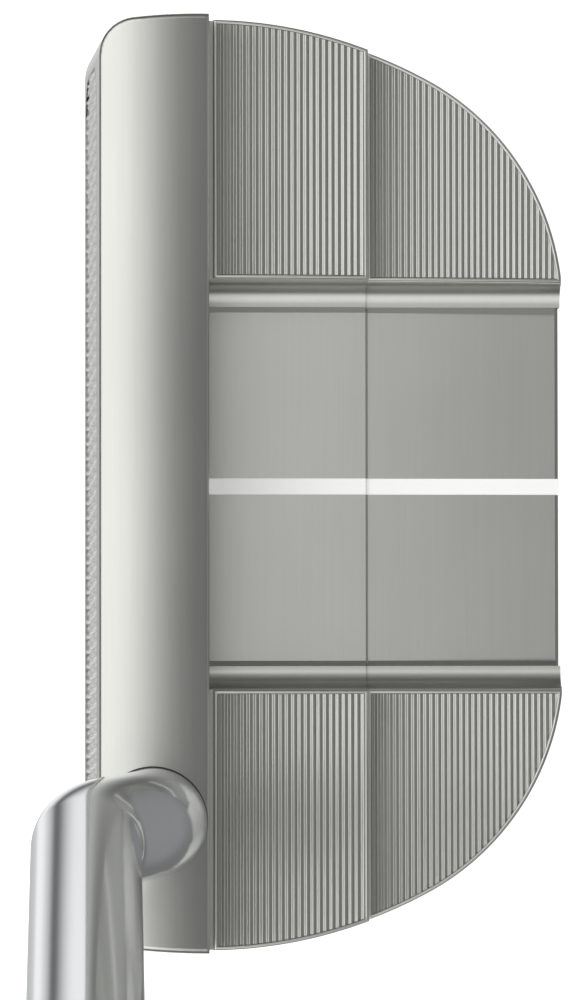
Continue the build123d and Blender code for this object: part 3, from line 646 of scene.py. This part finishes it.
def make_rims(material):
    """Round-topped rims, as the cutter leaves them round each panel."""
    shape = bmesh.new()
    for level in (0, 1):
        for side in (-1, 1):
            lines = [(RIM_TUCK, -RIM_FOOT)]
            for step in range(RIM_LOOPS):
                inset = RIM_WIDTH * step / (RIM_LOOPS - 1)
                drop = RIM_ROUND - sqrt(RIM_ROUND ** 2 - (inset - RIM_WIDTH / 2) ** 2)
                lines.append((inset, RIM_CREST - drop))
            lines.append((RIM_WIDTH - RIM_TUCK, -RIM_FOOT))
            paths = [rim_path(level, inset) for inset, _ in lines]
            around, across = 2 * RIM_POINTS, len(lines)
            grid = bmesh.ops.create_grid(shape, x_segments=around, y_segments=across, size=0.5)
            for vert in grid["verts"]:
                point = round((vert.co.x + 0.5) * around) % around
                line = round((vert.co.y + 0.5) * across) % across
                x, y = paths[line][point]
                vert.co = (x, side * y, wing_top(x, level) + lines[line][1])
    bmesh.ops.remove_doubles(shape, verts=shape.verts, dist=RIM_WELD)
    bmesh.ops.recalc_face_normals(shape, faces=shape.faces)
    sharpen_corners(shape)
    finish_piece(make_object(shape, "wing_rims"), material, "head_steel")


# ---- Shaft --------------------------------------------------------------------------------

TIP_RADIUS = 3.95 * MM
SHAFT_WALL = 0.6 * MM
BEND_RADIUS = 8.2 * MM
STEP_COUNT = 9
STEP_RISE = 0.23 * MM
STEP_SPACING = 46 * MM
STEP_TAPER = 2.5 * MM
STEP_EDGE = 0.4 * MM              # support ring each side of a step
FIRST_STEP = 120 * MM
TUBE_SIDES = 128
BEND_RINGS = 20
STRAIGHT_AFTER_BENDS = 4 * BEND_RADIUS
SHAFT_WELD = 0.001 * MM


def ring_edges(items):
    return [item for item in items if isinstance(item, bmesh.types.BMEdge)]


def ring_verts(edges):
    return list({vert for edge in edges for vert in edge.verts})


def ring_centre(edges):
    verts = ring_verts(edges)
    return sum((vert.co for vert in verts), Vector()) / len(verts)


def grow_tube(shape, ring, move, swell=1.0):
    """Extrude the tube's open end, scaling it about its own centre."""
    grown = bmesh.ops.extrude_edge_only(shape, edges=ring)["geom"]
    verts = [item for item in grown if isinstance(item, bmesh.types.BMVert)]
    ends = [edge for edge in ring_edges(grown) if edge.verts[0] in verts and edge.verts[1] in verts]
    bmesh.ops.translate(shape, verts=verts, vec=move)
    centre = ring_centre(ends)
    bmesh.ops.scale(shape, vec=(swell, swell, swell), space=Matrix.Translation(-centre), verts=verts)
    return ends


def bend_tube(shape, ring, corner, incoming, outgoing):
    """Run the tube straight to a bend and spin it round to the next direction."""
    turn = acos(incoming.dot(outgoing))
    start = corner - incoming * BEND_RADIUS * tan(turn / 2)
    ring = grow_tube(shape, ring, start - ring_centre(ring))
    inwards = (outgoing - incoming * incoming.dot(outgoing)).normalized()
    spun = bmesh.ops.spin(shape, geom=ring, cent=start + inwards * BEND_RADIUS,
                          axis=incoming.cross(inwards), angle=turn, steps=BEND_RINGS)
    return ring_edges(spun["geom_last"])


def make_shaft(material):
    upright = Vector((0, 0, 1))
    between = (second_bend - first_bend).normalized()
    tip = Vector((neck.x, neck.y, bond_low.z))
    shape = bmesh.new()
    bmesh.ops.create_circle(shape, segments=TUBE_SIDES, radius=TIP_RADIUS,
                            matrix=Matrix.Translation(tip))
    ring = grow_tube(shape, list(shape.edges), upright * (bond_high.z - bond_low.z))
    ring = grow_tube(shape, ring, Vector(), SHAFT_RADIUS / TIP_RADIUS)
    ring = bend_tube(shape, ring, first_bend, upright, between)
    ring = bend_tube(shape, ring, second_bend, between, shaft_axis)
    ring = grow_tube(shape, ring, shaft_axis * STRAIGHT_AFTER_BENDS)
    radius = SHAFT_RADIUS
    for step in range(STEP_COUNT):
        place = second_bend + shaft_axis * (FIRST_STEP + step * STEP_SPACING)
        ring = grow_tube(shape, ring, place - shaft_axis * STEP_EDGE - ring_centre(ring))
        ring = grow_tube(shape, ring, shaft_axis * STEP_EDGE)
        ring = grow_tube(shape, ring, shaft_axis * STEP_TAPER, (radius + STEP_RISE) / radius)
        ring = grow_tube(shape, ring, shaft_axis * STEP_EDGE)
        radius += STEP_RISE
    grow_tube(shape, ring, second_bend + shaft_axis * shaft_end - ring_centre(ring))
    bmesh.ops.remove_doubles(shape, verts=shape.verts, dist=SHAFT_WELD)
    bmesh.ops.recalc_face_normals(shape, faces=shape.faces)
    bmesh.ops.solidify(shape, geom=list(shape.faces), thickness=SHAFT_WALL)
    finish_piece(make_object(shape, "stepped_shaft"), material, "shaft_chrome", "shaft")


# ---- Bead of epoxy where the shaft enters the crown ---------------------------------------

BEAD_RADIUS = 0.17 * MM
BEAD_SIDES = 10
CROWN_ROLL_RADIUS = 17 * MM
CROWN_MIDDLE_BEHIND_FACE = 7.18 * MM


def make_bond_bead(material):
    shape = bmesh.new()
    section = Matrix.Translation((SHAFT_RADIUS, 0, 0)) @ Matrix.Rotation(pi / 2, 4, "X")
    bmesh.ops.create_circle(shape, segments=BEAD_SIDES, radius=BEAD_RADIUS, matrix=section)
    bmesh.ops.spin(shape, geom=shape.edges[:], cent=(0, 0, 0), axis=(0, 0, 1), angle=2 * pi,
                   steps=TUBE_SIDES, use_merge=True)
    bmesh.ops.translate(shape, verts=shape.verts, vec=(neck.x, neck.y, head_high.z))
    for vert in shape.verts:
        off_crown = vert.co.x - head_low.x - CROWN_MIDDLE_BEHIND_FACE
        vert.co.z -= CROWN_ROLL_RADIUS - sqrt(CROWN_ROLL_RADIUS ** 2 - off_crown ** 2)
    bmesh.ops.recalc_face_normals(shape, faces=shape.faces)
    finish_piece(make_object(shape, "bond_bead"), material, "epoxy")


# ---- Grip ---------------------------------------------------------------------------------

GRIP_LENGTH = 267 * MM
GRIP_FRONT = 10.2 * MM
GRIP_CORNER = 4.5 * MM
GRIP_STATIONS = ((0, 21.0, 20.2), (0.25, 22.6, 21.2), (0.55, 24.6, 24.2),    # share, width, depth
                 (0.8, 26.0, 29.0), (1, 25.5, 26.0))
TAPE_RADIUS = 7.87 * MM
GRIP_COLUMNS = 144
GRIP_ROWS = 560
GROOVE_PITCH = 3.0 * MM
GROOVE_DEPTH = 0.4 * MM
GROOVE_HALF_LENGTH = 7 * MM
GROOVE_RUN_OUT = 1.2 * MM
GROOVE_SHARE = 0.55
STUD_PITCH = 3.6 * MM
STUD_HEIGHT = 0.3 * MM
STUD_GIRTH_RADIUS = 11 * MM       # radius at which the studs' pitch round the grip is true
STUD_FROM = 0.6                   # how far the surface turns from the front before studs begin
STUD_FADE = 0.3
STUD_FULLNESS = 0.8
FLAT_FRONT = 0.999
PANEL_FROM = 0.09                 # share of the grip's length, from the mouth
PANEL_TO = 0.93
PANEL_EDGE = 0.02
MOUTH_BEAD = 0.5 * MM
MOUTH_BEAD_LENGTH = 5 * MM


def smooth_share(value):
    value = max(0.0, min(1.0, value))
    return value * value * (3 - 2 * value)


def grip_size(share):
    """Width and depth of the grip at a share of its length."""
    for (start, width, depth), (end, next_width, next_depth) in zip(GRIP_STATIONS, GRIP_STATIONS[1:]):
        if share <= end:
            blend = smooth_share((share - start) / (end - start))
            return ((width + (next_width - width) * blend) * MM,
                    (depth + (next_depth - depth) * blend) * MM)
    return GRIP_STATIONS[-1][1] * MM, GRIP_STATIONS[-1][2] * MM


def grip_point(share, width, depth):
    """Point and outward direction at a share of the way round from the middle of the front."""
    half = width / 2
    shoulder = GRIP_FRONT - depth + half
    side_top = GRIP_FRONT - GRIP_CORNER
    runs = (half - GRIP_CORNER, GRIP_CORNER * pi / 2, side_top - shoulder, half * pi / 2)
    way = min(share, 1 - share) * 2 * sum(runs)
    mirror = 1 if share <= 0.5 else -1
    if way <= runs[0]:
        point, out = Vector((way, GRIP_FRONT, 0)), Vector((0, 1, 0))
    elif way <= sum(runs[:2]):
        angle = (way - runs[0]) / GRIP_CORNER
        out = Vector((sin(angle), cos(angle), 0))
        point = Vector((half - GRIP_CORNER, side_top, 0)) + out * GRIP_CORNER
    elif way <= sum(runs[:3]):
        point, out = Vector((half, side_top - (way - sum(runs[:2])), 0)), Vector((1, 0, 0))
    else:
        angle = (way - sum(runs[:3])) / half
        out = Vector((cos(angle), -sin(angle), 0))
        point = Vector((0, shoulder, 0)) + out * half
    return Vector((point.x * mirror, point.y, 0)), Vector((out.x * mirror, out.y, 0))


def grip_relief(share, point, out, distance):
    """Grooves across the front, rows of studs on the sides and back, and a bead at the mouth."""
    panel = (smooth_share((share - PANEL_FROM) / PANEL_EDGE)
             * smooth_share((PANEL_TO - share) / PANEL_EDGE))
    bead = MOUTH_BEAD * sin(pi * min(1.0, distance / MOUTH_BEAD_LENGTH)) ** 2
    if out.y > FLAT_FRONT:
        edge = smooth_share((GROOVE_HALF_LENGTH - abs(point.x)) / GROOVE_RUN_OUT)
        wave = abs(sin(pi * distance / GROOVE_PITCH))
        return bead - GROOVE_DEPTH * panel * edge * (1 - smooth_share(wave / GROOVE_SHARE))
    if out.y < STUD_FROM:
        around = atan2(point.x, -point.y) * STUD_GIRTH_RADIUS
        bump = max(0.0, sin(pi * around / STUD_PITCH) * sin(pi * distance / STUD_PITCH))
        fade = smooth_share((STUD_FROM - out.y) / STUD_FADE)
        return bead + STUD_HEIGHT * panel * fade * smooth_share(bump / STUD_FULLNESS)
    return bead


def make_grip(material):
    shape = bmesh.new()
    bmesh.ops.create_grid(shape, x_segments=GRIP_COLUMNS, y_segments=GRIP_ROWS, size=0.5)
    for vert in shape.verts:
        around, share = vert.co.x + 0.5, vert.co.y + 0.5
        distance = share * GRIP_LENGTH
        point, out = grip_point(around, *grip_size(share))
        vert.co = point + out * grip_relief(share, point, out, distance) + Vector((0, 0, distance))
    bmesh.ops.remove_doubles(shape, verts=shape.verts, dist=WELD)
    open_edges = [edge for edge in shape.edges if edge.is_boundary]
    mouth = [edge for edge in open_edges if edge.verts[0].co.z < GRIP_LENGTH / 2]
    butt = [edge for edge in open_edges if edge.verts[0].co.z > GRIP_LENGTH / 2]
    hole = grow_tube(shape, mouth, Vector())
    for vert in ring_verts(hole):
        radial = Vector((vert.co.x, vert.co.y, 0)).normalized() * TAPE_RADIUS
        vert.co = Vector((radial.x, radial.y, vert.co.z))
    hole = grow_tube(shape, hole, Vector((0, 0, GRIP_LENGTH)))
    bmesh.ops.bridge_loops(shape, edges=hole + butt)
    grip_start = upper_shaft @ Matrix.Translation((0, 0, shaft_end - GRIP_LENGTH))
    bmesh.ops.transform(shape, matrix=grip_start, verts=shape.verts)
    bmesh.ops.recalc_face_normals(shape, faces=shape.faces)
    finish_piece(make_object(shape, "moulded_grip"), material, "grip_rubber", "grip")


make_camera()
make_world()
make_floor()
bpy.context.scene.view_settings.view_transform = "Standard"

finishes = dress_nodes()
make_milled_face(finishes["face_insert"])
make_ribs(finishes["head_body"])
make_rims(finishes["head_body"])
make_shaft(finishes["shaft"])
make_bond_bead(finishes["shaft_bond"])
make_grip(finishes["grip"])
